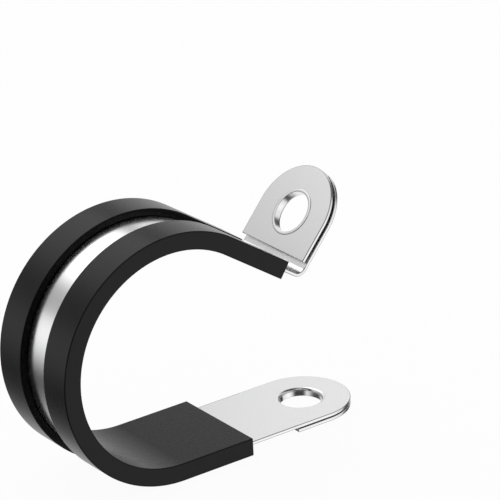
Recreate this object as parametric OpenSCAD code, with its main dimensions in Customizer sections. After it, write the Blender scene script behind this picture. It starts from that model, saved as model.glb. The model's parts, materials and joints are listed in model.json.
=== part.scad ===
// Rubber-lined cable clamp, drawn open before its two tabs are screwed together.
// A folded steel band sits in a channel of rubber that wraps its edges.
// The loop's axis is the Y axis and its centre is the origin. The lower tab lies flat
// and points along +X, and +Z is up.

/* [Cable loop] */
// Radius of the rubber seat that the cable lies in
seat_r = 16.35; // [12:0.05:20]
// Angle, up from +X, at which the upper leg leaves the loop
leg_angle = 55.5; // [45:0.5:65]

/* [Band] */
// Width of the steel strip
band_w = 15; // [13:0.5:20]
// Thickness of the steel strip
band_t = 0.5; // [0.4:0.05:0.8]

/* [Cushion] */
// Rubber between the cable and the band
inner_wall = 1.1; // [0.8:0.05:2]
// Rubber outside the band, in each lip
lip_t = 1.1; // [0.8:0.05:2]
// Rubber past each edge of the band
edge_wall = 0.98; // [0.6:0.02:2]
// Width of each lip, from the cushion's edge to the groove
lip_w = 5.5; // [3:0.1:6]
// Straight rubber past the loop on the lower leg
lower_leg = 12.2; // [8:0.1:20]
// Straight rubber past the loop on the upper leg
upper_leg = 11.4; // [8:0.1:20]
// Room between the band and the rubber, on each side of the band
slot_clearance = 0.02; // [0.01:0.01:0.1]

/* [Tabs] */
// Bare band from the lower leg's end to the cut end of the folded layer
lower_bare = 9; // [5:0.1:15]
// Bare band from the upper leg's end to the bend
upper_bare = 2.85; // [1.5:0.05:6]
// Angle that the bend turns the upper tab through
bend_angle = 84; // [60:1:90]
// Inner radius of the bend
bend_r = 1.2; // [0.8:0.1:2.5]
// Bare band from the bend to the cut end of the folded layer
bend_to_fold = 0.75; // [0.3:0.05:4]
// Distance from the cut end of the folded layer to the hole's centre
fold_to_hole = 5.9; // [5:0.1:8]
// Gap between the two layers of the lower tab
lower_gap = 0.2; // [0.1:0.05:0.8]
// Gap between the two layers of the upper tab
upper_gap = 0.5; // [0.1:0.05:0.8]
// Metal between the closed end of that gap and the tip of the nose
nose_web = 0.4; // [0.2:0.05:1]

/* [Eyelets] */
// Diameter of the screw hole
hole_d = 6.4; // [5:0.1:8]
// Rounding of the hole's drawn entry
entry_r = 0.5; // [0.3:0.05:0.6]
// Wall of the collar drawn through the folded layer
collar_wall = 0.4; // [0.3:0.05:0.8]
// Width of the ring that the collar is flared into
ring_w = 0.5; // [0.45:0.05:1]
// Height of that ring above the folded layer
ring_h = 0.08; // [0.04:0.01:0.3]

/* [Hidden] */
$fn = 96;

// Half a turn, past which a bend covers more than half of a disc
half_turn = 180;
// How far a cut runs past what it cuts
cut_past = 1;
// How far an arc stands proud of the straights at its ends, and how far it runs on into them,
// so that the two cross cleanly
tangent_relief = 0.001;
tangent_lap = 0.3;

// The loop's turn from the lower leg, which runs along +X, round to the upper leg
loop_turn = half_turn + 90 - leg_angle;

// The band's inner face, and the slot that holds the band
band_r = seat_r + inner_wall + slot_clearance;
slot_r = seat_r + inner_wall;
slot_t = band_t + 2 * slot_clearance;
slot_w = band_w + 2 * slot_clearance;

// The cushion's section
cushion_w = slot_w + 2 * edge_wall;
cushion_t = inner_wall + slot_t + lip_t;
groove_w = cushion_w - 2 * lip_w;

// The tabs, along the band from its hole
hole_r = hole_d / 2;
nose_r = band_w / 2 + tangent_relief;
lower_hole_x = lower_leg + lower_bare + fold_to_hole;
bend_x = upper_leg + upper_bare;
upper_hole_x = bend_to_fold + fold_to_hole;

// Stands what is drawn in the XY plane up into the XZ plane
module upright() rotate([90, 0, 0]) children();

// Extrudes a profile over a width centred on the clamp's middle
module across(width) linear_extrude(width, center = true) children();

// The half of a square round the origin that lies on its +X side
module right_half(reach) translate([0, -reach]) square([reach, 2 * reach]);

// What lies before and after a bend, past the laps into its straights
module before_bend(reach) mirror([1, 0]) translate([tangent_lap, 0]) right_half(reach);
module after_bend(reach, turn) rotate(turn) translate([tangent_lap, 0]) right_half(reach);

// Profile of a disc cut back to what a bend covers
module bend_disc(r, turn) difference() {
    circle(r);
    if (turn > half_turn) intersection() {
        before_bend(r);
        after_bend(r, turn);
    } else {
        before_bend(r);
        after_bend(r, turn);
    }
}

// Profile of a strip t thick bent round the origin at inner radius r: it comes in along +X below
// the origin, turns upwards and leaves straight
module bent_strip(r, t, turn, before, after) difference() {
    union() {
        bend_disc(r + t + tangent_relief, turn);
        translate([-before, -r - t]) square([before, t]);
        rotate(turn) translate([0, -r - t]) square([after, t]);
    }
    circle(r + tangent_relief);
    translate([-tangent_lap - cut_past, -r]) square([tangent_lap + cut_past, r]);
    rotate(turn) translate([0, -r]) square([tangent_lap + cut_past, r]);
}

// Profile of a strip t thick round the loop at radius r, with a straight leg at each end
module loop_strip(r, t, lower, upper) mirror([1, 0]) bent_strip(r, t, loop_turn, lower, upper);

// Frames of the bend and of the two tabs, each tab's with its hole's entry at the origin,
// its nose along +X and its folded layer on the +Y side
module at_bend() rotate(leg_angle - 90) translate([bend_x, band_r + band_t + bend_r]) children();
module at_upper_tab() at_bend() rotate(bend_angle) translate([upper_hole_x, -bend_r - band_t]) children();
module at_lower_tab() translate([lower_hole_x, -band_r]) mirror([0, 1]) children();

// Profile of a tab: the band's layer from x = -back, the fold pressed flat at the tip, where the
// nose is cut later, and the layer folded back
module tab_profile(gap, back) {
    tip = nose_r + cut_past;
    gap_end = nose_r - nose_web;
    top = 2 * band_t + gap;
    polygon([
        [-back, 0], [tip, 0], [tip, top], [-fold_to_hole, top],
        [-fold_to_hole, band_t + gap], [gap_end, band_t + gap], [gap_end, band_t], [-back, band_t]
    ]);
}

// Profile of the whole folded strip: each stretch starts just past the bend before it, and lies
// along the straight that leaves that bend
module band_profile() {
    loop_strip(band_r, band_t, lower_leg, upper_leg);
    at_lower_tab() tab_profile(lower_gap, lower_hole_x - tangent_lap);
    at_bend() bent_strip(bend_r, band_t, bend_angle, bend_x - tangent_lap, upper_hole_x);
    at_upper_tab() tab_profile(upper_gap, upper_hole_x - tangent_lap);
}

// Turns what is drawn along Z so that it runs through a tab, from its entry to its folded layer
module through_tab() rotate([-90, 0, 0]) children();

// Collar between a tab's two layers, and the ring that it is flared into
module eyelet_collar(gap) through_tab() {
    seat = band_t / 2;
    translate([0, 0, seat]) cylinder(r = hole_r + collar_wall, h = gap + 2 * seat);
    translate([0, 0, band_t + gap + seat]) cylinder(r = hole_r + ring_w, h = seat + ring_h);
}

// Screw hole with a rounded entry in the band's inner face
module eyelet_bore(stack) rotate_extrude() {
    translate([0, -cut_past]) square([hole_r, stack + 2 * cut_past]);
    difference() {
        translate([0, -cut_past]) square([hole_r + entry_r, entry_r + cut_past]);
        translate([hole_r + entry_r, entry_r]) circle(entry_r);
    }
}

// Corners that the round nose of a tab leaves behind
module nose_cut(stack) difference() {
    translate([0, -band_w, -cut_past]) cube([band_w, 2 * band_w, stack + 2 * cut_past]);
    translate([0, 0, -2 * cut_past]) cylinder(r = nose_r, h = stack + 4 * cut_past);
}

// All that is cut away from a tab
module tab_cuts(gap) through_tab() {
    stack = 2 * band_t + gap + ring_h;
    eyelet_bore(stack);
    nose_cut(stack);
}

// One folded strip of stainless sheet
module band() color("gainsboro") upright() difference() {
    union() {
        across(band_w) band_profile();
        at_lower_tab() eyelet_collar(lower_gap);
        at_upper_tab() eyelet_collar(upper_gap);
    }
    at_lower_tab() tab_cuts(lower_gap);
    at_upper_tab() tab_cuts(upper_gap);
}

// One rubber profile with a slot for the band and a groove between its lips
module cushion() color("dimgray") upright() difference() {
    across(cushion_w) loop_strip(seat_r, cushion_t, lower_leg, upper_leg);
    across(slot_w) loop_strip(slot_r, slot_t, lower_leg + cut_past, upper_leg + cut_past);
    across(groove_w) loop_strip(band_r, band_t + lip_t + cut_past, lower_leg + cut_past, upper_leg + cut_past);
}

band();
cushion();
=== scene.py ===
"""Dresses an open, rubber-lined cable clamp: a folded steel band held in a rubber channel.

Lengths in the classes are millimetres in the clamp's own frame: the centre of the loop is the
origin, +Y runs along the cable, +X points from the loop towards the tabs and +Z is up.
"""

import json
import logging
import math
from dataclasses import dataclass, field
from enum import Enum
from typing import NamedTuple, Optional, Sequence, Union

import bmesh
import bpy
from mathutils import Matrix, Vector


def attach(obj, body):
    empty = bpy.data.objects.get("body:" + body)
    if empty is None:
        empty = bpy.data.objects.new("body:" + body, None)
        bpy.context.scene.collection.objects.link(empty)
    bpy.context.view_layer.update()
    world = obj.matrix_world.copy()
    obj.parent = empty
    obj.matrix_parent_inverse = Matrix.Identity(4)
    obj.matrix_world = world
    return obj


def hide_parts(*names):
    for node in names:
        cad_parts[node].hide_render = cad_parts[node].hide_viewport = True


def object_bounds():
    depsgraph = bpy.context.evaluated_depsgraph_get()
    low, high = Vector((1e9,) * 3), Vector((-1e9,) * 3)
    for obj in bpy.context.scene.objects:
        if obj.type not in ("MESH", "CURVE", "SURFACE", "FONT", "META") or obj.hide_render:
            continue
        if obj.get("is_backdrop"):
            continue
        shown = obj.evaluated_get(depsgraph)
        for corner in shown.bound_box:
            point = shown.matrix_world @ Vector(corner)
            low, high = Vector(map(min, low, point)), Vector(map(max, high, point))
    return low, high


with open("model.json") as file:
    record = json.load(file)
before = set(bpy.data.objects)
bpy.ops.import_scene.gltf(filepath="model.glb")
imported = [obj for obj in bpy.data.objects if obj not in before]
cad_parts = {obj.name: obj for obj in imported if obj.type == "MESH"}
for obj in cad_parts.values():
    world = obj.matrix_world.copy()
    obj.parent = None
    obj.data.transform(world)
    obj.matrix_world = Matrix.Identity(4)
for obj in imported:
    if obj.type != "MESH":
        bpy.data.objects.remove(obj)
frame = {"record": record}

Colour = tuple[float, float, float, float]
Socket = bpy.types.NodeSocket
Sockets = bpy.types.bpy_prop_collection
# What a node's input takes: a link from a socket, or a value of its own
Value = Union[Socket, Colour, float]

LOG = logging.getLogger("cable_clamp")
BODY = "root"
MM = 0.001
QUARTER_TURN = 90.0
BOTH_SIDES = (-1.0, 1.0)

# Values on the meshes, by the names under which the finishes read them
GRAIN = "grain"
# Painted shade: dark lines drawn in colour along rounded edges, round the eyelets' entries and rings
EDGE = "edge"
# Painted shade: colour darkened on the rubber's groove walls and on the steel beside the lips
PAINTED_SHADE = "recess"
DULL = "dull"

# How fast the painted dark line (painted shade) along an edge fades round its rounding
LINE_FALL = 0.6
# How far that line runs on into a sheet's wall, as a share of the wall
LINE_REACH = 0.2


class Slot(Enum):
    """The record's material slots."""

    STEEL = "stainless_steel"
    RUBBER = "black_rubber"


class Side(Enum):
    """The side of a line of travel, as the sign of a step to its left."""

    LEFT = 1
    RIGHT = -1


class EdgeLine(Enum):
    """The painted dark line (painted shade) along a rounded edge: how strong it is at the face, and at the
    wall.
    """

    FULL = (1.0, 1.0)
    SOFT = (1.0, 0.3)
    FAINT = (0.2, 0.15)

    @property
    def wall(self) -> float:
        """How strong it is where the rounding meets the wall."""
        return self.value[1]

    def at(self, angle: float) -> float:
        """How strong it is at an angle round the rounding, from the face."""
        face, wall = self.value
        return wall + (face - wall) * max(0.0, math.cos(angle)) ** LINE_FALL


class Spot(NamedTuple):
    """A point of a mesh: its place, where it lies on the strip's grain, and the values its finish reads.

    The edge value is painted shade along edges: 1 for the darkest line where an edge rounds off. The next
    value is painted shade too: 1 deep in the rubber's groove and on the steel beside the lips. The dull
    value is 1 where the sheet keeps its mill finish, and below 0 where it is polished.
    """

    place: Vector
    grain: tuple[float, float]
    edge: float = 0.0
    recess: float = 0.0
    dull: float = 0.0


class Station(NamedTuple):
    """A place along a bent strip, seen from the clamp's front, with the length travelled so far."""

    x: float
    z: float
    heading: float
    run: float

    def place(self, depth: float, y: float, side: Side = Side.LEFT) -> Vector:
        """The point at a depth to one side of the travel."""
        step = depth * side.value
        return Vector((self.x - math.sin(self.heading) * step, y, self.z + math.cos(self.heading) * step))

    def ahead(self, length: float) -> "Station":
        """Looks straight ahead.

        Args:
            length: how far, or how far back where it is negative.

        Returns:
            The station there.
        """
        dx = math.cos(self.heading) * length
        dz = math.sin(self.heading) * length
        return Station(self.x + dx, self.z + dz, self.heading, self.run + length)


class StripPath:
    """A line of straights and arcs, as the stations along it."""

    def __init__(self, start: Station) -> None:
        """Starts the line at its first station."""
        self.stations: list[Station] = [start]

    def straight(self, length: float, steps: int) -> None:
        """Runs straight on.

        Args:
            length: how far.
            steps: how many stations it adds.
        """
        start = self.stations[-1]
        self.stations += [start.ahead(length * i / steps) for i in range(1, steps + 1)]

    def arc(self, radius: float, turn_deg: float, steps: int) -> None:
        """Bends round an arc.

        Args:
            radius: the arc's radius.
            turn_deg: the turn, to the left where it is positive.
            steps: how many stations it adds.
        """
        start = self.stations[-1]
        turn = math.radians(turn_deg)
        reach = math.copysign(radius, turn)
        centre_x = start.x - math.sin(start.heading) * reach
        centre_z = start.z + math.cos(start.heading) * reach
        for i in range(1, steps + 1):
            part = turn * i / steps
            heading = start.heading + part
            x = centre_x + math.sin(heading) * reach
            z = centre_z - math.cos(heading) * reach
            self.stations.append(Station(x, z, heading, start.run + abs(part) * radius))


def add_object(name: str, data: bpy.types.ID) -> bpy.types.Object:
    """Puts an object into the scene.

    Args:
        name: its name.
        data: its mesh, lamp or camera.

    Returns:
        The object.
    """
    made = bpy.data.objects.new(name, data)
    bpy.context.scene.collection.objects.link(made)
    return made


class MeshDraft:
    """A mesh put together from grids of spots, whose seams are welded at the end."""

    weld_distance = 1e-4
    sharp_deg = 40.0

    def __init__(self) -> None:
        """Starts an empty mesh with the values that the finishes read."""
        self.bm = bmesh.new()
        layers = self.bm.verts.layers
        self.grain = layers.float_vector.new(GRAIN)
        self.values = [(name, layers.float.new(name)) for name in (EDGE, PAINTED_SHADE, DULL)]

    def _vert(self, spot: Spot) -> bmesh.types.BMVert:
        """Adds one vertex.

        Args:
            spot: its place and its values.

        Returns:
            The vertex.
        """
        vert = self.bm.verts.new(spot.place)
        vert[self.grain] = (*spot.grain, 0.0)
        for name, layer in self.values:
            vert[layer] = getattr(spot, name)
        return vert

    def grid(self, rows: Sequence[Sequence[Spot]]) -> None:
        """Adds a sheet of quads.

        Args:
            rows: rows of spots, all of one length.
        """
        verts = [[self._vert(spot) for spot in row] for row in rows]
        for near, far in zip(verts, verts[1:]):
            for i in range(len(near) - 1):
                self.bm.faces.new((near[i], near[i + 1], far[i + 1], far[i]))

    def finish(self, name: str) -> bpy.types.Object:
        """Welds the seams, shades the faces and makes the object.

        Args:
            name: the piece's name.

        Returns:
            The new object, in metres.
        """
        bm = self.bm
        bmesh.ops.remove_doubles(bm, verts=bm.verts, dist=self.weld_distance)
        bmesh.ops.dissolve_degenerate(bm, edges=bm.edges, dist=self.weld_distance)
        bmesh.ops.recalc_face_normals(bm, faces=bm.faces)
        for face in bm.faces:
            face.smooth = True
        limit = math.radians(self.sharp_deg)
        for edge in bm.edges:
            edge.smooth = edge.calc_face_angle(0.0) < limit
        open_edges = sum(1 for edge in bm.edges if not edge.is_manifold)
        LOG.info("%s: %d faces, %d open edges", name, len(bm.faces), open_edges)
        bmesh.ops.scale(bm, vec=(MM, MM, MM), verts=bm.verts)
        mesh = bpy.data.meshes.new(name)
        bm.to_mesh(mesh)
        bm.free()
        piece = add_object(name, mesh)
        weighting = piece.modifiers.new("flat_faces_stay_flat", "WEIGHTED_NORMAL")
        weighting.keep_sharp = True
        return piece


def spread(low: float, high: float, steps: int) -> list[float]:
    """Evenly spaced values from low to high, both among them."""
    return [low + (high - low) * i / steps for i in range(steps + 1)]


def held(low: float, high: float, steps: int, hold: float) -> list[float]:
    """Spaces values with one more close to each end, which keeps the shading flat up to there.

    Args:
        low: the first value.
        high: the last value.
        steps: how many even steps lie between the extra values.
        hold: how far the extra values stand from the ends, as a share of the span.

    Returns:
        The values in order.
    """
    margin = (high - low) * hold
    return [low, *spread(low + margin, high - margin, steps), high]


class ProfilePoint(NamedTuple):
    """A point across the edge of a sheet: how far in from the edge, how deep, and its edge value."""

    inset: float
    depth: float
    edge: float


class EdgeProfile(NamedTuple):
    """The rounded edge of a sheet: the rounding at its first face, its wall and the other rounding."""

    first: list[ProfilePoint]
    wall: list[ProfilePoint]
    second: list[ProfilePoint]

    def points(self) -> list[ProfilePoint]:
        """All its points, from the first face to the second."""
        return self.first + self.wall + self.second


def edge_profile(
    thickness: float,
    rounding: float,
    first_line: EdgeLine = EdgeLine.FULL,
    second_line: EdgeLine = EdgeLine.FULL,
    steps: int = 3,
    wall_steps: int = 2,
) -> EdgeProfile:
    """Lays out the rounded edge of a sheet.

    Args:
        thickness: the sheet's thickness.
        rounding: the radius of both its edges.
        first_line: the line along the rounding at the first face.
        second_line: the line along the rounding at the second face.
        steps: how many steps each rounding takes.
        wall_steps: how many steps the wall between them takes, past a short one at each end.

    Returns:
        The profile.
    """
    first = []
    second = []
    for angle in spread(0.0, math.pi / 2, steps):
        inset = rounding * (1 - math.sin(angle))
        depth = rounding * (1 - math.cos(angle))
        first.append(ProfilePoint(inset, depth, first_line.at(angle)))
        second.insert(0, ProfilePoint(inset, thickness - depth, second_line.at(angle)))
    depths = held(rounding, thickness - rounding, wall_steps, LINE_REACH)[1:-1]
    return EdgeProfile(first, [ProfilePoint(0.0, depth, 0.0) for depth in depths], second)


class TurnedPoint(NamedTuple):
    """A point of a section that is turned round a hole: its radius, its depth and its edge value."""

    radius: float
    depth: float
    edge: float


class NosePoint(NamedTuple):
    """A point on the round wall of a nose: its angle from the tip, its depth and its edge value."""

    angle: float
    depth: float
    edge: float


@dataclass(frozen=True)
class LoopSizes:
    """What the band and the cushion share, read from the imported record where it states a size."""

    seat_r: float
    hole_r: float
    lower_hole_x: float
    leg_angle: float = 55.5
    band_w: float = 15.0
    sheet: float = 0.5
    inner_wall: float = 1.1
    edge_wall: float = 0.98
    lip_w: float = 5.5
    slot_clearance: float = 0.02
    lower_leg: float = 12.2
    upper_leg: float = 11.4
    arc_steps: int = 160

    @classmethod
    def from_record(cls, record: dict) -> "LoopSizes":
        """Reads the seat and the holes from the record's mounts.

        Args:
            record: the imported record.

        Returns:
            The sizes.
        """
        mounts = {mount["name"]: mount for mount in record["mounts"]}
        seat_r = mounts["cable_seat"]["dims"]["r_mm"]
        hole_r = mounts["lower_hole"]["dims"]["r_mm"]
        return cls(seat_r, hole_r, mounts["lower_hole"]["pos_m"][0] / MM)

    @property
    def band_r(self) -> float:
        """Radius of the band's inner face."""
        return self.seat_r + self.inner_wall + self.slot_clearance

    @property
    def turn_deg(self) -> float:
        """Turn of the loop from the lower leg to the upper one, to the right."""
        return self.leg_angle - 3 * QUARTER_TURN

    @property
    def slot_half(self) -> float:
        """Half the width of the slot that holds the band."""
        return self.band_w / 2 + self.slot_clearance

    @property
    def cushion_half(self) -> float:
        """Half the width of the cushion."""
        return self.slot_half + self.edge_wall

    @property
    def groove_half(self) -> float:
        """Half the width of the groove between the lips."""
        return self.cushion_half - self.lip_w


@dataclass(frozen=True)
class Tab:
    """One end of the band: two layers of sheet, folded flat at the tip, with an eyelet through both.

    A place along its outline is a number: -1 at the folded layer's cut end, 0 where the nose begins,
    1 where the gap between the layers ends and 2 at the tip.
    """

    origin: Station
    side: Side
    gap: float
    sheet: float
    half_width: float
    hole_r: float
    shade_at: tuple[float, float]
    own_line: EdgeLine
    bore_polish: float
    fold_to_hole: float = 5.9
    nose_web: float = 0.4
    rounding: float = 0.08
    entry_r: float = 0.5
    # Painted reflection: a dark ring drawn in colour round the drawn entry, darkest towards the bore
    entry_shade: float = 2.0
    entry_fall: int = 4
    collar_wall: float = 0.4
    ring_w: float = 0.5
    ring_h: float = 0.08
    ring_rounding: float = 0.035
    bore_hold: float = 0.105
    ring_crown: float = 0.015
    # Painted shade: dark lines round the bore, at the ring's outer edge and at its foot
    bore_line: float = 0.7
    ring_line: float = 0.8
    foot_line: float = 0.3
    dull_fall: int = 4
    across_steps: int = 14
    side_steps: int = 10
    nose_steps: int = 24
    tip_steps: int = 8
    web_steps: int = 6
    entry_steps: int = 10
    patch_steps: int = 2
    hold: float = 0.01

    @property
    def gap_x(self) -> float:
        """Centre of the gap's round end, from the hole's axis."""
        return self.half_width - self.nose_web - self.gap / 2

    @property
    def top(self) -> float:
        """Depth of the folded layer's outer face below the band's own face."""
        return 2 * self.sheet + self.gap

    @property
    def collar_r(self) -> float:
        """Outer radius of the collar between the layers."""
        return self.hole_r + self.collar_wall

    def profile(self, folded: bool = False) -> EdgeProfile:
        """The rounded edge of the band's own layer or of the folded one, faint towards the gap."""
        line = EdgeLine.FULL if folded else self.own_line
        return edge_profile(self.sheet, self.rounding, line, EdgeLine.FAINT)

    def shares(self) -> list[float]:
        """Places across the band, from -1 to 1, among them the ends of the shade beside the lips."""
        ends = [sign * y / (self.half_width - self.rounding) for y in self.shade_at for sign in BOTH_SIDES]
        return sorted(held(-1.0, 1.0, self.across_steps, self.hold) + ends)

    def spot(self, x: float, depth: float, y: float, edge: float = 0.0) -> Spot:
        """Makes a spot of the tab.

        Args:
            x: distance from the hole's axis towards the nose.
            depth: distance from the band's own face towards the folded layer.
            y: distance across the band.
            edge: painted shade, up to 1 for the dark line where an edge rounds off.

        Returns:
            The spot, in the clamp's frame.
        """
        along = x if depth <= self.sheet else 2 * self.gap_x - x
        grain = (self.origin.run + along, y)
        place = self.origin.ahead(x).place(depth, y, self.side)
        return Spot(place, grain, edge=edge, dull=self.dull_at(x, depth, y))

    def dull_at(self, x: float, depth: float, y: float) -> float:
        """How dull the sheet is: inside the fold, along its sheared sides near the open end.

        A hole's wall that the punch has polished is less dull than the sheet.

        Args:
            x: distance from the hole's axis towards the nose.
            depth: distance from the band's own face towards the folded layer.
            y: distance across the band.

        Returns:
            The dull value.
        """
        if math.hypot(x, y) < self.hole_r + MeshDraft.weld_distance:
            return -self.bore_polish
        from_middle = abs(depth - self.top / 2)
        inside = from_middle < self.gap / 2 + MeshDraft.weld_distance
        behind = -x / self.fold_to_hole
        sideways = (y / self.half_width) ** self.dull_fall
        return behind * sideways if inside and 0.0 < behind < 1.0 else 0.0

    def half_at(self, x: float, inset: float) -> float:
        """Half the width of the nose at x, a little in from its edge."""
        reach = self.half_width - inset
        return math.sqrt(max(0.0, reach * reach - x * x))

    def outline_at(self, mark: float, inset: float) -> tuple[float, float]:
        """Finds a point of one half of the outline.

        Args:
            mark: the place along it.
            inset: how far in from the edge.

        Returns:
            Its x and y, with y positive.
        """
        reach = self.half_width - inset
        if mark <= 0.0:
            return mark * self.fold_to_hole, reach
        last = math.acos(self.gap_x / reach)
        angle = math.pi / 2 + (last - math.pi / 2) * mark if mark <= 1.0 else last * (2.0 - mark)
        return reach * math.cos(angle), reach * math.sin(angle)

    def layer_marks(self) -> list[float]:
        """Places from the cut end to the end of the gap."""
        return spread(-1.0, 0.0, self.side_steps)[:-1] + spread(0.0, 1.0, self.nose_steps)

    def tip_marks(self) -> list[float]:
        """Places from the end of the gap to the tip."""
        return spread(1.0, 2.0, self.tip_steps)

    def outline(self, end_x: float, outer: bool) -> list[tuple[float, float]]:
        """Lays out a flat face's outline.

        Args:
            end_x: where the face ends, away from the nose.
            outer: whether it is an outer face, which runs to the tip, or one inside the gap.

        Returns:
            Its points as (x, y), closed.
        """
        inset = self.rounding
        half = [self.outline_at(mark, inset) for mark in self.layer_marks()[1:]]
        if outer:
            half += [self.outline_at(mark, inset) for mark in self.tip_marks()[1:]]
            middle = []
        else:
            middle = [(self.gap_x, self.half_at(self.gap_x, inset) * share) for share in self.shares()]
        reach = self.half_width - inset
        # Across the straight end, along one side to the nose, and back along the other
        points = [(end_x, -reach * share) for share in self.shares()]
        points += [(x, -y) for x, y in half] + middle[1:-1]
        points += list(reversed(half)) if middle else list(reversed(half[:-1]))
        return points + points[:1]

    def angles(self, outer: bool) -> list[float]:
        """The angles round the hole at which flat faces meet the eyelet."""
        return [math.atan2(y, x) for x, y in self.outline(-self.fold_to_hole, outer)]

    def patch(
        self, draft: MeshDraft, depth: float, rim: float, end_x: float, outer: bool, cut: bool = False
    ) -> None:
        """Adds one flat face between the eyelet and the tab's outline.

        Args:
            draft: the band's mesh.
            depth: the face's depth.
            rim: its inner radius, round the hole.
            end_x: where it ends, away from the nose.
            outer: whether it is an outer face or one inside the gap.
            cut: whether it ends at the folded layer's cut end and meets the flared ring.
        """
        pairs = list(zip(self.outline(end_x, outer), self.angles(outer)))
        last = len(self.shares()) - 1
        rows = []
        for part in held(0.0, 1.0, self.patch_steps, self.hold):
            row = []
            for i, ((x, y), angle) in enumerate(pairs):
                inner_x = rim * math.cos(angle)
                inner_y = rim * math.sin(angle)
                # Painted shade: a dark line along the outline, and a fainter one at the ring's foot
                on_border = part == 1.0 and (cut or not 0 < i < last)
                at_foot = part == 0.0 and cut
                edge = 1.0 if on_border else self.foot_line * at_foot
                place_x = inner_x + (x - inner_x) * part
                place_y = inner_y + (y - inner_y) * part
                row.append(self.spot(place_x, depth, place_y, edge))
            rows.append(row)
        draft.grid(rows)

    def edge_rows(
        self, marks: Sequence[float], points: Sequence[ProfilePoint], sign: float
    ) -> list[list[Spot]]:
        """Lays out the edge of the band's own layer along the outline.

        Args:
            marks: the places along it.
            points: the points across the edge.
            sign: the side of the band.

        Returns:
            A row of spots for each place.
        """
        rows = []
        for mark in marks:
            places = [(*self.outline_at(mark, p.inset), p) for p in points]
            rows.append([self.spot(x, p.depth, sign * y, p.edge) for x, y, p in places])
        return rows

    def folded(self, rows: Sequence[Sequence[Spot]]) -> list[list[Spot]]:
        """Takes rows over to the folded layer.

        Args:
            rows: rows of the band's own layer.

        Returns:
            The same rows, mirrored in the middle of the gap.
        """
        middle = self.origin.place(self.top / 2, 0.0, self.side)
        face = self.origin.place(0.0, 0.0, self.side)
        through = (self.origin.place(1.0, 0.0, self.side) - face).normalized()
        turned = []
        for row in rows:
            places = [spot.place - through * 2 * (spot.place - middle).dot(through) for spot in row]
            turned.append([spot._replace(place=place) for spot, place in zip(row, places)])
        return turned

    def mouth_spot(self, psi: float, point: ProfilePoint, share: float) -> Spot:
        """Makes a spot round the closed end of the gap.

        Args:
            psi: angle round that end, in radians.
            point: where the spot lies across the sheet's edge.
            share: where it lies across the band, from -1 to 1.

        Returns:
            The spot.
        """
        radius = self.gap / 2 + self.sheet - point.depth
        x = self.gap_x + radius * math.sin(psi)
        depth = self.sheet + self.gap / 2 - radius * math.cos(psi)
        return self.spot(x, depth, share * self.half_at(x, point.inset), point.edge)

    def web_border(self) -> list[NosePoint]:
        """Lays out the border of the nose's wall past the gap: out by one face, back by the other.

        Returns:
            Its points.
        """
        deep = self.top - self.rounding
        last = math.acos(self.gap_x / self.half_width)
        out = spread(last, 0.0, self.tip_steps)
        down = spread(self.rounding, deep, self.web_steps)[1:-1]
        back = spread(0.0, last, self.tip_steps)
        border = [NosePoint(angle, self.rounding, self.own_line.wall) for angle in out]
        border += [NosePoint(0.0, depth, 0.0) for depth in down]
        border += [NosePoint(angle, deep, EdgeLine.FULL.wall) for angle in back]
        return border

    def web_row(self, psi: float, start: NosePoint, sign: float) -> list[Spot]:
        """Runs from the border of the nose's wall to the mouth of the gap.

        Args:
            psi: the angle round the gap's end at which the row meets it, in radians.
            start: where it leaves the border.
            sign: the side of the band.

        Returns:
            The row's spots.
        """
        angle, depth, line = start
        reach = self.gap / 2 + self.rounding
        mouth_angle = math.acos((self.gap_x + reach * math.sin(psi)) / self.half_width)
        mouth_depth = self.sheet + self.gap / 2 - reach * math.cos(psi)
        wall = self.sheet - 2 * self.rounding
        steps = [((p.depth - self.rounding) / wall, 0.0) for p in self.profile().wall]
        row = []
        for part, edge in [(0.0, line), *steps, (1.0, EdgeLine.FAINT.wall)]:
            round_nose = angle + (mouth_angle - angle) * part
            x = self.half_width * math.cos(round_nose)
            y = sign * self.half_width * math.sin(round_nose)
            row.append(self.spot(x, depth + (mouth_depth - depth) * part, y, edge))
        return row

    def web(self, draft: MeshDraft) -> None:
        """Adds the closed end of the gap, its rounded mouths and the nose's wall past it.

        Args:
            draft: the band's mesh.
        """
        mouth = self.profile().second
        inside = mouth[-1]._replace(edge=0.0)
        turn = spread(0.0, math.pi, 2 * self.tip_steps + self.web_steps)
        draft.grid([[self.mouth_spot(psi, inside, share) for share in self.shares()] for psi in turn])
        for sign in BOTH_SIDES:
            draft.grid([[self.mouth_spot(psi, p, sign) for p in mouth] for psi in turn])
            draft.grid([self.web_row(psi, start, sign) for psi, start in zip(turn, self.web_border())])

    def edges(self, draft: MeshDraft) -> None:
        """Adds the sheet's cut edge along both sides and the nose, and the folded layer's cut end.

        Args:
            draft: the band's mesh.
        """
        own = self.profile()
        turned = self.profile(folded=True)
        points = turned.points()
        marks = self.layer_marks()
        for sign in BOTH_SIDES:
            draft.grid(self.edge_rows(marks, own.points(), sign))
            draft.grid(self.edge_rows(self.tip_marks(), own.first, sign))
            rows = self.folded(self.edge_rows(marks[1:], points, sign))
            draft.grid([[self.end_spot(p, sign) for p in points]] + rows)
            draft.grid(self.folded(self.edge_rows(self.tip_marks(), turned.first, sign)))
        draft.grid([[self.end_spot(p, share) for share in self.shares()] for p in points])

    def end_spot(self, point: ProfilePoint, share: float) -> Spot:
        """A spot of the folded layer's cut end."""
        y = share * (self.half_width - point.inset)
        return self.spot(point.inset - self.fold_to_hole, self.top - point.depth, y, point.edge)

    def revolve(self, draft: MeshDraft, section: Sequence[TurnedPoint], outer: bool) -> None:
        """Adds a face of revolution round the hole.

        Args:
            draft: the band's mesh.
            section: its section.
            outer: whether it meets the outer faces or those inside the gap.
        """
        angles = self.angles(outer)
        rows = []
        for radius, depth, edge in section:
            places = [(radius * math.cos(angle), radius * math.sin(angle)) for angle in angles]
            rows.append([self.spot(x, depth, y, edge) for x, y in places])
        draft.grid(rows)

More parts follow.
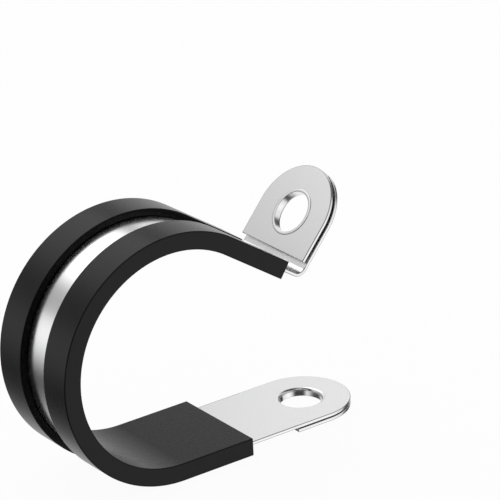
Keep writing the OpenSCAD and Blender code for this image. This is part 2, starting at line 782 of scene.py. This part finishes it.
    def flare(self) -> list[TurnedPoint]:
        """Lays out the section of the crowned ring that the collar is flared into.

        Returns:
            Its points, from the bore to the ring's foot.
        """
        crest = self.top + self.ring_h
        profile = edge_profile(self.ring_w, self.ring_rounding)
        # Painted shade: dark lines at the ring's inner and outer roundings
        lines = (self.bore_line, 0.0, self.ring_line)
        section = [TurnedPoint(self.hole_r, crest - self.bore_hold, 0.0)]
        for points, line in zip((profile.first, profile.wall, profile.second), lines):
            for p in points:
                off_middle = 2 * p.depth / self.ring_w - 1
                drop = p.inset + self.ring_crown * off_middle ** 2
                section.append(TurnedPoint(self.hole_r + p.depth, crest - drop, line))
        section.append(TurnedPoint(self.hole_r + self.ring_w, self.top, self.foot_line))
        return section

    def eyelet(self, draft: MeshDraft) -> None:
        """Adds the drawn entry, the bore, the flared ring and the collar between the layers.

        Args:
            draft: the band's mesh.
        """
        section = []
        for angle in spread(0.0, math.pi / 2, self.entry_steps):
            radius = self.hole_r + self.entry_r * (1 - math.sin(angle))
            # Painted reflection: the entry's rounding darkens in colour towards the bore
            shade = self.entry_shade * math.sin(angle) ** self.entry_fall * math.cos(angle)
            section.append(TurnedPoint(radius, self.entry_r * (1 - math.cos(angle)), shade))
        self.revolve(draft, section + self.flare(), outer=True)
        ends = (self.sheet, self.sheet + self.gap)
        self.revolve(draft, [TurnedPoint(self.collar_r, depth, 0.0) for depth in ends], outer=False)

    def build(self, draft: MeshDraft) -> None:
        """Adds the whole tab.

        Args:
            draft: the band's mesh.
        """
        back = -self.fold_to_hole
        cut_end = back + self.rounding
        self.patch(draft, 0.0, self.hole_r + self.entry_r, back, outer=True)
        self.patch(draft, self.sheet, self.collar_r, back, outer=False)
        self.patch(draft, self.sheet + self.gap, self.collar_r, cut_end, outer=False)
        self.patch(draft, self.top, self.hole_r + self.ring_w, cut_end, outer=True, cut=True)
        self.edges(draft)
        self.web(draft)
        self.eyelet(draft)


@dataclass
class SteelBand:
    """The one folded strip of stainless sheet."""

    loop: LoopSizes
    upper_bare: float = 2.85
    bend_deg: float = 84.0
    bend_r: float = 1.2
    bend_to_fold: float = 0.75
    lower_gap: float = 0.2
    upper_gap: float = 0.5
    lower_polish: float = 0.22
    upper_polish: float = 0.0
    lip_shade_w: float = 0.4
    leg_steps: int = 8
    bend_steps: int = 28
    node: str = "band"
    tabs: list[Tab] = field(init=False)
    path: list[Station] = field(init=False)

    def __post_init__(self) -> None:
        """Lays the strip out from the lower tab round to the upper one."""
        loop = self.loop
        lower_hole = Station(loop.lower_hole_x, -loop.band_r, 0.0, 0.0)
        lower = self._tab(lower_hole, Side.RIGHT, self.lower_gap, EdgeLine.SOFT, self.lower_polish)
        start = lower_hole.ahead(-lower.fold_to_hole)
        line = StripPath(Station(start.x, start.z, math.pi, 0.0))
        line.straight(start.x, self.leg_steps)
        line.arc(loop.band_r, loop.turn_deg, loop.arc_steps)
        line.straight(loop.upper_leg + self.upper_bare, self.leg_steps)
        line.arc(self.bend_r + loop.sheet, self.bend_deg, self.bend_steps)
        line.straight(self.bend_to_fold, 1)
        upper_hole = line.stations[-1].ahead(lower.fold_to_hole)
        upper = self._tab(upper_hole, Side.LEFT, self.upper_gap, EdgeLine.FULL, self.upper_polish)
        self.path = line.stations
        self.tabs = [lower, upper]

    def _tab(self, hole: Station, side: Side, gap: float, line: EdgeLine, polish: float) -> Tab:
        """Lays out one tab of this strip.

        Args:
            hole: where its hole is.
            side: the side of the travel that it is folded to.
            gap: the gap between its layers.
            line: the line along the edges of the band's own layer.
            polish: how much less dull the hole's wall is.

        Returns:
            The tab.
        """
        loop = self.loop
        return Tab(
            origin=hole,
            side=side,
            gap=gap,
            sheet=loop.sheet,
            half_width=loop.band_w / 2,
            hole_r=loop.hole_r,
            shade_at=(loop.groove_half - self.lip_shade_w, loop.groove_half),
            own_line=line,
            bore_polish=polish,
        )

    def ring(self, station: Station, tab: Tab, shade: float) -> list[Spot]:
        """Lays out the strip's section at a station.

        Args:
            station: where.
            tab: the tab at that end of the strip.
            shade: how far the outer face is in the shade under and beside the lips, up to 1.

        Returns:
            Its spots, closed.
        """
        points = edge_profile(tab.sheet, tab.rounding, tab.own_line).points()[1:-1]
        half = tab.half_width
        clear, dark = tab.shade_at
        across = [((half - tab.rounding) * share, float(abs(share) == 1.0)) for share in tab.shares()]
        # Across the inner face, round one edge, back across the outer face and round the other edge
        section = [(0.0, y, edge, 0.0) for y, edge in across]
        section += [(p.depth, half - p.inset, p.edge, 0.0) for p in points]
        # Painted shade on the outer face beside and under the lips
        for y, edge in reversed(across):
            beside = (abs(y) - clear) / (dark - clear)
            section.append((tab.sheet, y, edge, shade * min(1.0, max(0.0, beside))))
        section += [(p.depth, p.inset - half, p.edge, 0.0) for p in reversed(points)]
        section += section[:1]
        return [Spot(station.place(depth, y), (station.run, y), *values) for depth, y, *values in section]

    def build(self, finish: "SteelFinish") -> bpy.types.Object:
        """Makes the band and dresses it.

        Args:
            finish: the steel.

        Returns:
            The piece.
        """
        draft = MeshDraft()
        lower, upper = self.tabs
        loop_end = self.leg_steps + self.loop.arc_steps
        rows = []
        for i, station in enumerate(self.path):
            in_loop = self.leg_steps <= i <= loop_end
            rows.append(self.ring(station, lower if i < loop_end else upper, float(in_loop)))
        draft.grid(rows)
        lower.build(draft)
        upper.build(draft)
        piece = draft.finish("steel_band")
        piece.data.materials.append(finish.material())
        place_piece(piece, self.node)
        return piece


class SectionPoint(NamedTuple):
    """A point of the rubber's section: its depth from the cable, its y, and its two painted shade values,
    along edges and in the groove.
    """

    depth: float
    y: float
    edge: float
    recess: float


@dataclass
class RubberCushion:
    """The rubber channel that lines the loop and wraps the band's edges."""

    loop: LoopSizes
    lip_t: float = 1.1
    rounding: float = 0.1
    inner_rounding: float = 0.08
    end_rounding: float = 0.07
    edge_margin: float = 0.13
    corner_steps: int = 3
    leg_steps: int = 8
    node: str = "cushion"

    @property
    def slot_top(self) -> float:
        """Depth of the slot's outer face."""
        return self.loop.inner_wall + self.loop.sheet + 2 * self.loop.slot_clearance

    @property
    def crest(self) -> float:
        """Depth of the lips' outer face."""
        return self.slot_top + self.lip_t

    def corners(self) -> list[tuple[Vector, float, bool]]:
        """Lays out the channel's section.

        Returns:
            (depth and y, rounding, whether it lies in the channel) of each corner, in order.
        """
        loop = self.loop
        half = [
            (0.0, loop.cushion_half, self.rounding, False),
            (self.crest, loop.cushion_half, self.rounding, False),
            (self.crest, loop.groove_half, self.rounding, True),
            (self.slot_top, loop.groove_half, self.inner_rounding, True),
            (self.slot_top, loop.slot_half, self.inner_rounding, True),
            (loop.inner_wall, loop.slot_half, self.inner_rounding, True),
        ]
        mirrored = [(depth, -y, rounding, inside) for depth, y, rounding, inside in reversed(half)]
        return [(Vector((depth, y)), rounding, inside) for depth, y, rounding, inside in half + mirrored]

    def outline(self, inset: float) -> list[SectionPoint]:
        """Rounds the section.

        Args:
            inset: how far it is drawn in all round.

        Returns:
            Its points.
        """
        corners = self.corners()
        points = []
        for i, (corner, rounding, inside) in enumerate(corners):
            back = (corners[i - 1][0] - corner).normalized()
            ahead = (corners[(i + 1) % len(corners)][0] - corner).normalized()
            proud = back.cross(ahead) > 0.0
            centre = corner + (back + ahead) * rounding
            radius = rounding - inset if proud else rounding + inset
            first = centre - ahead * radius
            last = centre - back * radius
            # Painted shade: the rounded corner carries the dark edge line, and the margin points end it
            bend = [(first + back * self.edge_margin, 0.0)]
            for angle in spread(0.0, math.pi / 2, self.corner_steps):
                arm = ahead * math.cos(angle) + back * math.sin(angle)
                bend.append((centre - arm * radius, 1.0))
            bend.append((last + ahead * self.edge_margin, 0.0))
            for place, edge in bend:
                # Painted shade in the channel, full a little below the lips' crest
                recess = min(1.0, (self.crest - place.x) / rounding) if inside else 0.0
                points.append(SectionPoint(place.x, place.y, edge, recess))
        return points

    def row(self, station: Station, shift: float, inset: float, edge: float, shown: float) -> list[Spot]:
        """Lays out the section at a station.

        Args:
            station: where.
            shift: how far to move along the strip.
            inset: how far the section is drawn in.
            edge: painted shade where the end rounds off, up to 1.
            shown: how much of its corners' own edge values shows.

        Returns:
            Its spots, closed.
        """
        moved = station.ahead(shift)
        spots = []
        around = 0.0
        last = None
        for point in self.outline(inset):
            around += math.dist(last, point[:2]) if last else 0.0
            last = point[:2]
            place = moved.place(point.depth, point.y)
            spots.append(Spot(place, (moved.run, around), max(edge, shown * point.edge), point.recess))
        return spots + spots[:1]

    def end_face(self, draft: MeshDraft, row: list[Spot]) -> None:
        """Adds one end face, as quads between the channel's outside and its inside.

        Args:
            draft: the cushion's mesh.
            row: the section there, closed, whose first and last quarters are the outside.
        """
        quarter = (len(row) - 1) // 4
        outside = row[3 * quarter:-1] + row[:quarter]
        inside = row[quarter:3 * quarter]
        draft.grid([outside, inside[::-1]])

    def build(self, finish: "RubberFinish") -> bpy.types.Object:
        """Makes the cushion and dresses it.

        Args:
            finish: the rubber.

        Returns:
            The piece.
        """
        loop = self.loop
        line = StripPath(Station(loop.lower_leg, -loop.seat_r, math.pi, 0.0))
        line.straight(loop.lower_leg, self.leg_steps)
        line.arc(loop.seat_r, loop.turn_deg, loop.arc_steps)
        line.straight(loop.upper_leg, self.leg_steps)
        first, last = line.stations[0], line.stations[-1]
        ends = edge_profile(2 * self.end_rounding, self.end_rounding, steps=self.corner_steps).first
        shares = [p.depth / self.end_rounding for p in ends]
        # Painted shade: a dark line across each end's rounding
        rounds = [(p, math.sin(math.pi * share), share) for p, share in zip(ends, shares)]
        rows = [self.row(first, p.depth, p.inset, edge, shown) for p, edge, shown in rounds]
        rows += [self.row(station, 0.0, 0.0, 0.0, 1.0) for station in line.stations[1:-1]]
        rows += [self.row(last, -p.depth, p.inset, edge, shown) for p, edge, shown in reversed(rounds)]
        draft = MeshDraft()
        draft.grid(rows)
        self.end_face(draft, rows[0])
        self.end_face(draft, rows[-1])
        piece = draft.finish("rubber_cushion")
        piece.data.materials.append(finish.material())
        place_piece(piece, self.node)
        return piece


def place_piece(piece: bpy.types.Object, node: str) -> None:
    """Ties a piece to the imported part.

    Args:
        piece: the piece.
        node: the solid that it stands for.
    """
    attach(piece, BODY)
    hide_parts(node)


def grey(level: float) -> Colour:
    """A plain grey."""
    return (level, level, level, 1.0)


class Graph:
    """A node tree that is being wired."""

    # The Mix node's sockets for colours, by number, because those of other types share their names
    mix_inputs = (0, 6, 7)
    mix_result = 2

    def __init__(self, tree: bpy.types.NodeTree) -> None:
        """Takes over a tree and empties it."""
        self.tree = tree
        tree.nodes.clear()

    def add(
        self, kind: str, inputs: Optional[dict[Union[str, int], Value]] = None, **settings: object
    ) -> bpy.types.Node:
        """Adds a node.

        Args:
            kind: the node's type.
            inputs: a value, or a socket to link from, for each input by its name or number.
            settings: the node's own properties.

        Returns:
            The node.
        """
        node = self.tree.nodes.new(kind)
        for name, value in settings.items():
            setattr(node, name, value)
        for name, value in (inputs or {}).items():
            if isinstance(value, Socket):
                self.tree.links.new(value, node.inputs[name])
            else:
                node.inputs[name].default_value = value
        return node

    def read(self, name: str, output: str = "Fac") -> Socket:
        """Reads a value that the mesh carries."""
        return self.add("ShaderNodeAttribute", attribute_name=name).outputs[output]

    def noise(self, place: Socket, scale: float, detail: float) -> Socket:
        """Adds a noise and returns its value."""
        inputs = {"Vector": place, "Scale": scale, "Detail": detail}
        return self.add("ShaderNodeTexNoise", inputs).outputs[0]

    def math(self, operation: str, *values: Value) -> Socket:
        """Adds a Math node and returns its result."""
        return self.add("ShaderNodeMath", dict(enumerate(values)), operation=operation).outputs[0]

    def ramp(self, value: Socket, low: float, high: float, start: float = 0.0, end: float = 1.0) -> Socket:
        """Maps a value from start..end to low..high, smoothly, and returns the result."""
        inputs = {"Value": value, "From Min": start, "From Max": end, "To Min": low, "To Max": high}
        return self.add("ShaderNodeMapRange", inputs, interpolation_type="SMOOTHSTEP").outputs[0]

    def mix(self, share: Socket, first: Value, second: Value) -> Socket:
        """Mixes two colours and returns the result."""
        inputs = dict(zip(self.mix_inputs, (share, first, second)))
        return self.add("ShaderNodeMix", inputs, data_type="RGBA").outputs[self.mix_result]

    def blend(self, share: Socket, first: Socket, second: Socket) -> Socket:
        """Mixes two shaders and returns the result."""
        return self.add("ShaderNodeMixShader", {0: share, 1: first, 2: second}).outputs[0]

    def glow(self, level: float) -> Socket:
        """Adds a plain grey glow and returns its shader."""
        return self.add("ShaderNodeEmission", {"Color": grey(level), "Strength": 1.0}).outputs[0]

    def see_through(self) -> Socket:
        """Adds a shader that lets all light through and returns it."""
        return self.add("ShaderNodeBsdfTransparent").outputs[0]

    def show(self, shader: Socket) -> None:
        """Makes a shader the material's surface."""
        self.add("ShaderNodeOutputMaterial", {"Surface": shader})


def new_material(name: str) -> tuple[bpy.types.Material, Graph]:
    """Starts a material.

    Args:
        name: its name.

    Returns:
        The material and its empty tree.
    """
    material = bpy.data.materials.new(name)
    material.use_nodes = True
    return material, Graph(material.node_tree)


class EffectGroup:
    """A node group that more than one finish uses, built once."""

    name = ""
    inputs: dict[str, str] = {}
    outputs: Sequence[str] = ()

    @classmethod
    def tree(cls) -> bpy.types.NodeTree:
        """Finds the group's tree, or makes it the first time.

        Returns:
            The tree.
        """
        made = bpy.data.node_groups.get(cls.name)
        if made:
            return made
        tree = bpy.data.node_groups.new(cls.name, "ShaderNodeTree")
        for name, kind in cls.inputs.items():
            tree.interface.new_socket(name, in_out="INPUT", socket_type=kind)
        for name in cls.outputs:
            tree.interface.new_socket(name, in_out="OUTPUT", socket_type="NodeSocketFloat")
        graph = Graph(tree)
        source = graph.add("NodeGroupInput").outputs
        graph.add("NodeGroupOutput", cls.wire(graph, source))
        return tree

    @classmethod
    def wire(cls, graph: Graph, source: Sockets) -> dict[str, Socket]:
        """Wires the group's inside, from its inputs to a socket for each output."""
        raise NotImplementedError

    @classmethod
    def place(cls, graph: Graph, inputs: dict[str, Value]) -> Sockets:
        """Puts the group into a material, with its values there, and returns its outputs."""
        return graph.add("ShaderNodeGroup", inputs, node_tree=cls.tree()).outputs


class DrawnGrain(EffectGroup):
    """Fine lines along a strip, as rolling leaves in steel and a die leaves in rubber."""

    name = "drawn_grain"
    inputs = {"Grain": "NodeSocketVector", "Along": "NodeSocketFloat", "Across": "NodeSocketFloat"}
    outputs = ("Lines", "Clouds")
    line_scale = 1.0
    line_detail = 4.0
    cloud_scale = 0.35
    cloud_detail = 3.0

    @classmethod
    def wire(cls, graph: Graph, source: Sockets) -> dict[str, Socket]:
        """Stretches one noise along the strip for the lines, and leaves a broad one for the clouds.

        Args:
            graph: the group's tree.
            source: the group's inputs.

        Returns:
            A socket for each output.
        """
        stretch = {"X": source["Along"], "Y": source["Across"], "Z": 1.0}
        factors = {0: source["Grain"], 1: graph.add("ShaderNodeCombineXYZ", stretch).outputs[0]}
        stretched = graph.add("ShaderNodeVectorMath", factors, operation="MULTIPLY").outputs[0]
        return {
            "Lines": graph.noise(stretched, cls.line_scale, cls.line_detail),
            "Clouds": graph.noise(source["Grain"], cls.cloud_scale, cls.cloud_detail),
        }


class PaintedEdgeShade(EffectGroup):
    """Painted shade along rounded edges, broken up a little by a noise."""

    name = "edge_wear"
    inputs = {"Edge": "NodeSocketFloat", "Grain": "NodeSocketVector", "Break Up": "NodeSocketFloat"}
    outputs = ("Mask",)
    patch_scale = 1.1
    patch_detail = 4.0

    @classmethod
    def wire(cls, graph: Graph, source: Sockets) -> dict[str, Socket]:
        """Takes some of the edge away by a noise.

        Args:
            graph: the group's tree.
            source: the group's inputs.

        Returns:
            A socket for each output.
        """
        patches = graph.noise(source["Grain"], cls.patch_scale, cls.patch_detail)
        lost = graph.math("MULTIPLY", patches, source["Break Up"])
        kept = graph.math("SUBTRACT", 1.0, lost)
        return {"Mask": graph.math("MULTIPLY", source["Edge"], kept)}


class Surface(NamedTuple):
    """A finish's material and tree, and the sockets that every finish reads there."""

    material: bpy.types.Material
    graph: Graph
    grain: Socket
    recess: Socket
    wear: Socket
    lines: Socket
    clouds: Socket


@dataclass(frozen=True)
class Finish:
    """What every finish has: its colours, the lines along its grain, its painted shade along edges and its
    bump.
    """

    name: str
    colour: Colour
    # The next two colours are painted shade: along rounded edges, and in the groove or beside the lips
    edge_colour: Colour
    recess_colour: Colour
    grain_along: float
    grain_across: float
    break_up: float
    bump_strength: float
    bump_height: float

    def start(self) -> Surface:
        """Starts the material with the effects that the finishes share.

        Returns:
            The material, its tree and its sockets.
        """
        material, graph = new_material(self.name)
        grain = graph.read(GRAIN, "Vector")
        recess = graph.read(PAINTED_SHADE)
        strip = {"Grain": grain, "Along": self.grain_along, "Across": self.grain_across}
        drawn = DrawnGrain.place(graph, strip)
        edge_shading = PaintedEdgeShade.place(graph, {"Edge": graph.read(EDGE), "Grain": grain, "Break Up": self.break_up})
        return Surface(material, graph, grain, recess, edge_shading["Mask"], drawn["Lines"], drawn["Clouds"])

    def close(
        self, surface: Surface, face: Value, height: Socket, inputs: dict[str, Value]
    ) -> bpy.types.Material:
        """Paints shade into the colour, in the groove or beside the lips and along the edges, and adds the
        bump and the shader.

        Args:
            surface: the material as it was started.
            face: the colour of the open face.
            height: the bump's height.
            inputs: the shader's other inputs.

        Returns:
            The material.
        """
        graph = surface.graph
        shaded = graph.mix(surface.recess, face, self.recess_colour)
        colour = graph.mix(surface.wear, shaded, self.edge_colour)
        relief = {"Height": height, "Strength": self.bump_strength, "Distance": self.bump_height * MM}
        bump = graph.add("ShaderNodeBump", relief).outputs[0]
        inputs = {"Base Color": colour, "Normal": bump, **inputs}
        graph.show(graph.add("ShaderNodeBsdfPrincipled", inputs).outputs[0])
        return surface.material


@dataclass(frozen=True)
class SteelFinish(Finish):
    """Bright stainless sheet with a fine rolled grain, with painted shade along its cut edges and beside
    the lips.
    """

    name: str = "bright_stainless"
    colour: Colour = (0.785, 0.785, 0.79, 1.0)
    # Painted shade: dark lines along the edges, and the face beside the lips
    edge_colour: Colour = (0.16, 0.16, 0.163, 1.0)
    recess_colour: Colour = (0.12, 0.12, 0.122, 1.0)
    grain_along: float = 0.12
    grain_across: float = 14.0
    break_up: float = 0.35
    bump_strength: float = 0.15
    bump_height: float = 0.004
    smooth: float = 0.17
    streaked: float = 0.27
    mill: float = 0.3

    def material(self) -> bpy.types.Material:
        """Makes the material.

        Returns:
            The material.
        """
        surface = self.start()
        graph = surface.graph
        polished = graph.ramp(surface.lines, self.smooth, self.streaked)
        dull = graph.math("MULTIPLY", graph.read(DULL), self.mill)
        inputs = {"Metallic": 1.0, "Roughness": graph.math("ADD", polished, dull)}
        return self.close(surface, self.colour, surface.lines, inputs)


@dataclass(frozen=True)
class RubberFinish(Finish):
    """Matt black rubber with faint die lines, with painted shade along its edges and in its groove."""

    name: str = "matt_black_rubber"
    colour: Colour = (0.0115, 0.0115, 0.0118, 1.0)
    # Painted shade: blacker lines along the edges, and blacker walls in the groove
    edge_colour: Colour = grey(0.001)
    recess_colour: Colour = grey(0.004)
    grain_along: float = 0.08
    grain_across: float = 5.0
    break_up: float = 0.3
    bump_strength: float = 0.015
    bump_height: float = 0.02
    cloudy: Colour = (0.0155, 0.0155, 0.0158, 1.0)
    smooth: float = 0.25
    dull: float = 0.3
    specular: float = 0.12
    pore_scale: float = 9.0
    pore_detail: float = 3.0

    def material(self) -> bpy.types.Material:
        """Makes the material.

        Returns:
            The material.
        """
        surface = self.start()
        graph = surface.graph
        face = graph.mix(surface.clouds, self.colour, self.cloudy)
        pores = graph.noise(surface.grain, self.pore_scale, self.pore_detail)
        roughness = graph.ramp(surface.clouds, self.smooth, self.dull)
        inputs = {"Roughness": roughness, "Specular IOR Level": self.specular}
        return self.close(surface, face, graph.math("ADD", pores, surface.lines), inputs)


def towards(azimuth_deg: float, elevation_deg: float) -> Vector:
    """Points away from the clamp.

    Args:
        azimuth_deg: from +X towards +Y.
        elevation_deg: up from the level.

    Returns:
        The direction, of length 1.
    """
    azimuth, elevation = math.radians(azimuth_deg), math.radians(elevation_deg)
    level = math.cos(elevation)
    return Vector((math.cos(azimuth) * level, math.sin(azimuth) * level, math.sin(elevation)))


@dataclass(frozen=True)
class Lamp:
    """A soft flat lamp that faces the clamp. Reflections show a soft-edged card in its place.

    Its direction is azimuth and elevation, its span is the width and height that it fills, all in
    degrees, and its level is how bright it makes a white surface that faces it.
    """

    name: str
    direction: tuple[float, float]
    span: tuple[float, float]
    level: float
    distance: float = 500.0

    def build(self) -> bpy.types.Object:
        """Makes the lamp.

        Returns:
            The lamp.
        """
        reach = self.distance * MM
        away = towards(*self.direction)
        data = bpy.data.lights.new(self.name, "AREA")
        data.shape = "RECTANGLE"
        data.size, data.size_y = [2 * reach * math.tan(math.radians(angle / 2)) for angle in self.span]
        data.energy = self.level * math.pi ** 2 * reach ** 2
        lamp = add_object(self.name, data)
        lamp.location = away * reach
        lamp.rotation_euler = away.to_track_quat("Z", "Y").to_euler()
        lamp.visible_glossy = False
        return lamp


@dataclass(frozen=True)
class Card:
    """A curved card of one tone with soft edges, which only reflections show.

    Its direction is azimuth and elevation, and its span is the width and height that it fills, all in
    degrees.
    """

    name: str
    direction: tuple[float, float]
    span: tuple[float, float]
    tone: float
    soft: float = 0.3
    distance: float = 1500.0
    steps: int = 24

    def material(self) -> bpy.types.Material:
        """Makes the card's finish, which fades out towards its edges.

        Returns:
            The material.
        """
        material, graph = new_material(self.name)
        material.cycles.emission_sampling = "NONE"
        parts = graph.add("ShaderNodeSeparateXYZ", {0: graph.read(GRAIN, "Vector")}).outputs
        full_from = 1.0 - 2 * self.soft
        sides = []
        for part in (parts["X"], parts["Y"]):
            from_middle = graph.math("ABSOLUTE", part)
            sides.append(graph.ramp(from_middle, 0.0, 1.0, start=1.0, end=full_from))
        cover = graph.math("MULTIPLY", *sides)
        graph.show(graph.blend(cover, graph.see_through(), graph.glow(self.tone)))
        return material

    def build(self) -> bpy.types.Object:
        """Makes the card.

        Returns:
            The card.
        """
        azimuth, elevation = self.direction
        width, height = self.span
        shares = spread(-1.0, 1.0, self.steps)
        rows = []
        for up in shares:
            row_up = elevation + up * height / 2
            places = [towards(azimuth + part * width / 2, row_up) * self.distance for part in shares]
            rows.append([Spot(place, (part, up)) for place, part in zip(places, shares)])
        draft = MeshDraft()
        draft.grid(rows)
        card = draft.finish(self.name)
        card.data.materials.append(self.material())
        card.visible_camera = False
        card.visible_diffuse = False
        card.visible_transmission = False
        card.visible_shadow = False
        card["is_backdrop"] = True
        return card


@dataclass
class Studio:
    """The pale floor, the white surroundings, the lamps and the cards that the steel mirrors."""

    floor_half: float = 3000.0
    paper: float = 0.9
    white: float = 1.0
    ambient: float = 0.6
    floor_seen: float = 0.95
    mirror_bounces: int = 12
    lamps: tuple[Lamp, ...] = (
        Lamp("key_lamp", direction=(90.0, 58.0), span=(36.0, 48.0), level=0.32),
    )
    cards: tuple[Card, ...] = (
        Card("key_card", direction=(90.0, 55.0), span=(76.0, 56.0), tone=2.0, soft=0.22),
        Card("right_dark_card", direction=(5.0, -13.0), span=(54.0, 92.0), tone=0.05),
        Card("back_low_dark_card", direction=(140.0, -33.0), span=(136.0, 60.0), tone=0.05, soft=0.4),
        Card("front_dark_card", direction=(-118.0, -5.0), span=(96.0, 116.0), tone=0.06),
        Card("front_low_dark_card", direction=(-82.0, -66.0), span=(120.0, 40.0), tone=0.06),
        Card("overhead_dark_card", direction=(-25.0, 70.0), span=(180.0, 80.0), tone=0.05, soft=0.25),
        Card("back_grey_card", direction=(123.0, 20.5), span=(44.0, 24.0), tone=0.45),
        Card("back_bright_card", direction=(128.0, 1.0), span=(44.0, 26.0), tone=1.2, soft=0.5),
        Card("front_bright_card", direction=(-55.0, -22.0), span=(44.0, 44.0), tone=1.2, soft=0.4),
        Card("side_grey_card", direction=(61.0, 28.0), span=(14.0, 60.0), tone=0.45, soft=0.5),
    )

    def seen_share(self, graph: Graph, seen: float) -> Socket:
        """How much of its plain white a surface shows to the ray at hand.

        Args:
            graph: the surface's tree.
            seen: the share for a straight look.

        Returns:
            The share, 1 in a mirror or through glass and 0 for the rays that light other surfaces.
        """
        path = graph.add("ShaderNodeLightPath").outputs
        bent = graph.math("MAXIMUM", path["Is Glossy Ray"], path["Is Transmission Ray"])
        straight = graph.math("MULTIPLY", path["Is Camera Ray"], seen)
        return graph.math("MAXIMUM", straight, bent)

    def world(self) -> None:
        """Makes the surroundings: white to look at, and a soft even light."""
        world = bpy.data.worlds.new("white_surroundings")
        world.use_nodes = True
        bpy.context.scene.world = world
        graph = Graph(world.node_tree)
        colour = graph.mix(self.seen_share(graph, 1.0), grey(self.ambient), grey(self.white))
        light = graph.add("ShaderNodeBackground", {"Color": colour, "Strength": 1.0})
        graph.add("ShaderNodeOutputWorld", {"Surface": light.outputs[0]})

    def floor_material(self) -> bpy.types.Material:
        """Makes the floor's finish: pale paper that keeps a soft shadow, clear from below.

        Returns:
            The material.
        """
        material, graph = new_material("pale_floor")
        material.cycles.emission_sampling = "NONE"
        paper = graph.add("ShaderNodeBsdfDiffuse", {"Color": grey(self.paper)}).outputs[0]
        seen = graph.blend(self.seen_share(graph, self.floor_seen), paper, graph.glow(self.white))
        below = graph.add("ShaderNodeNewGeometry").outputs["Backfacing"]
        graph.show(graph.blend(below, seen, graph.see_through()))
        return material

    def floor(self, height: float) -> bpy.types.Object:
        """Makes the floor.

        Args:
            height: where it lies, in metres.

        Returns:
            The floor.
        """
        half = self.floor_half * MM
        mesh = bpy.data.meshes.new("floor")
        around = ((-half, -half), (half, -half), (half, half), (-half, half))
        corners = [(x, y, height) for x, y in around]
        mesh.from_pydata(corners, [], [(0, 1, 2, 3)])
        floor = add_object("floor", mesh)
        floor.data.materials.append(self.floor_material())
        floor.visible_glossy = False
        floor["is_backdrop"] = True
        return floor

    def build(self, height: float) -> None:
        """Sets the studio up round the clamp.

        Args:
            height: where the floor lies, in metres.
        """
        bpy.context.scene.cycles.glossy_bounces = self.mirror_bounces
        self.world()
        self.floor(height)
        for light in self.lamps + self.cards:
            light.build()
        LOG.info("studio: floor, surroundings, %d lamps and %d cards", len(self.lamps), len(self.cards))


@dataclass
class Viewpoint:
    """The photograph's camera, from a fit of the clamp's edges in the 500 x 500 picture."""

    azimuth_deg: float = -34.641
    elevation_deg: float = 22.801
    roll_deg: float = -3.086
    distance: float = 486.83
    aim_right: float = 15.222
    aim_up: float = 13.177
    lens: float = 243.78
    sensor: float = 36.0
    clip_factor: float = 50.0

    def build(self) -> bpy.types.Object:
        """Makes the scene's camera.

        Returns:
            The camera.
        """
        back = towards(self.azimuth_deg - QUARTER_TURN, self.elevation_deg)
        roll = Matrix.Rotation(math.radians(self.roll_deg), 3, back)
        right = roll @ towards(self.azimuth_deg, 0.0)
        up = back.cross(right)
        data = bpy.data.cameras.new("viewpoint")
        data.lens = self.lens
        data.sensor_width = self.sensor
        data.clip_start = self.distance * MM / self.clip_factor
        data.clip_end = self.distance * MM * self.clip_factor
        camera = add_object("viewpoint", data)
        place = (back * self.distance + right * self.aim_right + up * self.aim_up) * MM
        axes = Matrix((right, up, back)).transposed()
        camera.matrix_world = Matrix.Translation(place) @ axes.to_4x4()
        bpy.context.scene.camera = camera
        return camera


def main() -> None:
    """Builds the clamp's pieces in order, then the camera and the studio."""
    logging.basicConfig(level=logging.INFO, format="%(name)s: %(message)s")
    solid_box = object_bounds()
    bpy.context.scene.view_settings.view_transform = "Standard"
    loop = LoopSizes.from_record(frame["record"])
    pieces = [SteelBand(loop).build(SteelFinish()), RubberCushion(loop).build(RubberFinish())]
    for piece in pieces:
        LOG.info("%s is dressed in %s", piece.name, piece.active_material.name)
    Viewpoint().build()
    Studio().build(solid_box[0].z)


if __name__ == "__main__":
    main()
